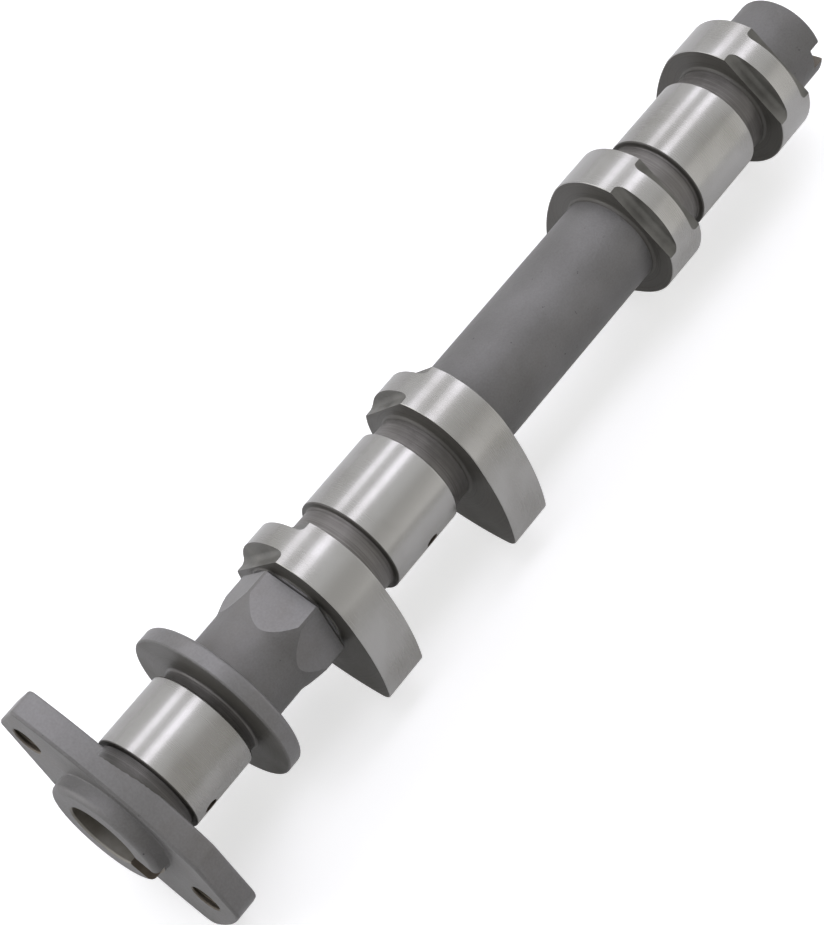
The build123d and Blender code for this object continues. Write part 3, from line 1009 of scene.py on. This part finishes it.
def white_world(stage):
    """Soft light from all round, less from the right, and plain white where the camera sees it."""
    right_edge, left_edge = (-0.65, -0.25), (0.3, 0.95)  # where the light changes, as y of a direction
    world = bpy.data.worlds.new("studio")
    bpy.context.scene.world = world
    world.use_nodes = True
    n = Nodes(world.node_tree)
    coordinates = n.add("ShaderNodeTexCoord").outputs["Generated"]
    side = n.add("ShaderNodeSeparateXYZ", {0: coordinates}).outputs["Y"]
    seen = n.add("ShaderNodeLightPath").outputs
    soft = seen["Is Diffuse Ray"]
    least = n.spread(soft, 0.0, 1.0, stage.right_shine, 0.0)
    across = n.spread(side, *right_edge, least, interpolation_type="SMOOTHSTEP")
    power = n.spread(side, *left_edge, stage.sky, stage.sky * stage.left_gain)
    sky = n.tree.nodes["Background"]
    n.put(sky.inputs["Color"], n.mix(across, stage.right_sky, stage.left_sky))
    n.put(sky.inputs["Strength"], n.spread(soft, 0.0, 1.0, 1.0, power))
    plain = n.add("ShaderNodeBackground", {"Color": (1.0, 1.0, 1.0)})
    mix = n.add("ShaderNodeMixShader", {0: seen["Is Camera Ray"], 1: sky.outputs[0], 2: plain.outputs[0]})
    n.put(n.tree.nodes["World Output"].inputs["Surface"], mix.outputs[0])


def lamp(name, matrix, power, width, height, tint=(1.0, 1.0, 1.0)):
    """A soft lamp."""
    light = bpy.data.lights.new(name, "AREA")
    light.shape = "RECTANGLE"
    light.size, light.size_y = width, height
    light.energy = power
    light.color = tint
    link(name, light).matrix_world = matrix


def facing(x, y, z):
    """A turn to three axes."""
    return Matrix((x, y, z)).transposed().to_4x4()


class CAMSHAFT_OT_stage(bpy.types.Operator):
    """Make the floor, the lamps and the camera"""

    bl_idname = "camshaft.stage"
    bl_label = "Stage"

    def execute(self, context):
        scene, stage = context.scene, context.scene.camshaft.stage
        half = stage.floor_size / 2
        low = CAD_BOX[0][2]
        mesh = bpy.data.meshes.new("floor")
        mesh.from_pydata([(-half, -half, low), (half, -half, low), (half, half, low), (-half, half, low)], [],
                         [(0, 1, 2, 3)])
        mesh.materials.append(floor_material(stage))
        link("floor", mesh)
        white_world(stage)
        along = Vector((1.0, 0.0, 0.0))
        for name, angle, power in (("lamp_high", stage.lamp_1_turn, stage.lamp_1_power),
                                   ("lamp_low", stage.lamp_2_turn, stage.lamp_2_power)):
            out = Vector((0.0, math.cos(angle), math.sin(angle)))
            stand = along * stage.lamp_middle + (out + along * stage.lamp_lean).normalized() * stage.lamp_distance
            lamp(name, Matrix.Translation(stand) @ facing(along, out.cross(along), out), power, stage.lamp_length,
                 stage.lamp_width, stage.lamp_colour)
        for name in ("right_card", "left_card"):
            stand, aim, width, power = (getattr(stage, f"{name}_{part}") for part in ("place", "aim", "width", "power"))
            turned = (along * aim - Vector(stand)).to_track_quat("-Z", "Z").to_matrix().to_4x4()
            lamp(name, Matrix.Translation(Vector(stand)) @ turned, power, width, width)
        camera = bpy.data.cameras.new("camera")
        camera.sensor_fit = "VERTICAL"
        camera.sensor_height = 36.0
        camera.lens = stage.camera_lens
        camera.clip_start = 0.01
        eye = link("camera", camera)
        back = -Vector(stage.camera_view).normalized()
        right = Vector(stage.camera_up).cross(back).normalized()
        eye.matrix_world = Matrix.Translation(Vector(stage.camera_place)) @ facing(right, back.cross(right), back)
        scene.camera = eye
        scene.view_settings.view_transform = "Standard"
        return {"FINISHED"}


class CAMSHAFT_PT_panel(bpy.types.Panel):
    """The steps in order, in the 3D view's sidebar"""

    bl_label = "Camshaft"
    bl_space_type = "VIEW_3D"
    bl_region_type = "UI"
    bl_category = "Camshaft"

    def draw(self, context):
        for name in STEPS:
            self.layout.operator(f"camshaft.{name}")


STEPS = ("shaft", "threads", "stage")
CLASSES = (ShaftSizes, LobeSizes, HexagonSizes, FlangeSizes, ThreadSizes, FinishColours, StageSettings,
           CamshaftSettings, CAMSHAFT_OT_shaft, CAMSHAFT_OT_threads, CAMSHAFT_OT_stage, CAMSHAFT_PT_panel)


def register():
    for made in CLASSES:
        bpy.utils.register_class(made)
    bpy.types.Scene.camshaft = PointerProperty(type=CamshaftSettings)


def unregister():
    del bpy.types.Scene.camshaft
    for made in reversed(CLASSES):
        bpy.utils.unregister_class(made)


def main():
    register()
    bpy.ops.camshaft.shaft()
    bpy.ops.camshaft.threads()
    bpy.ops.camshaft.stage()


if __name__ == "__main__":
    main()
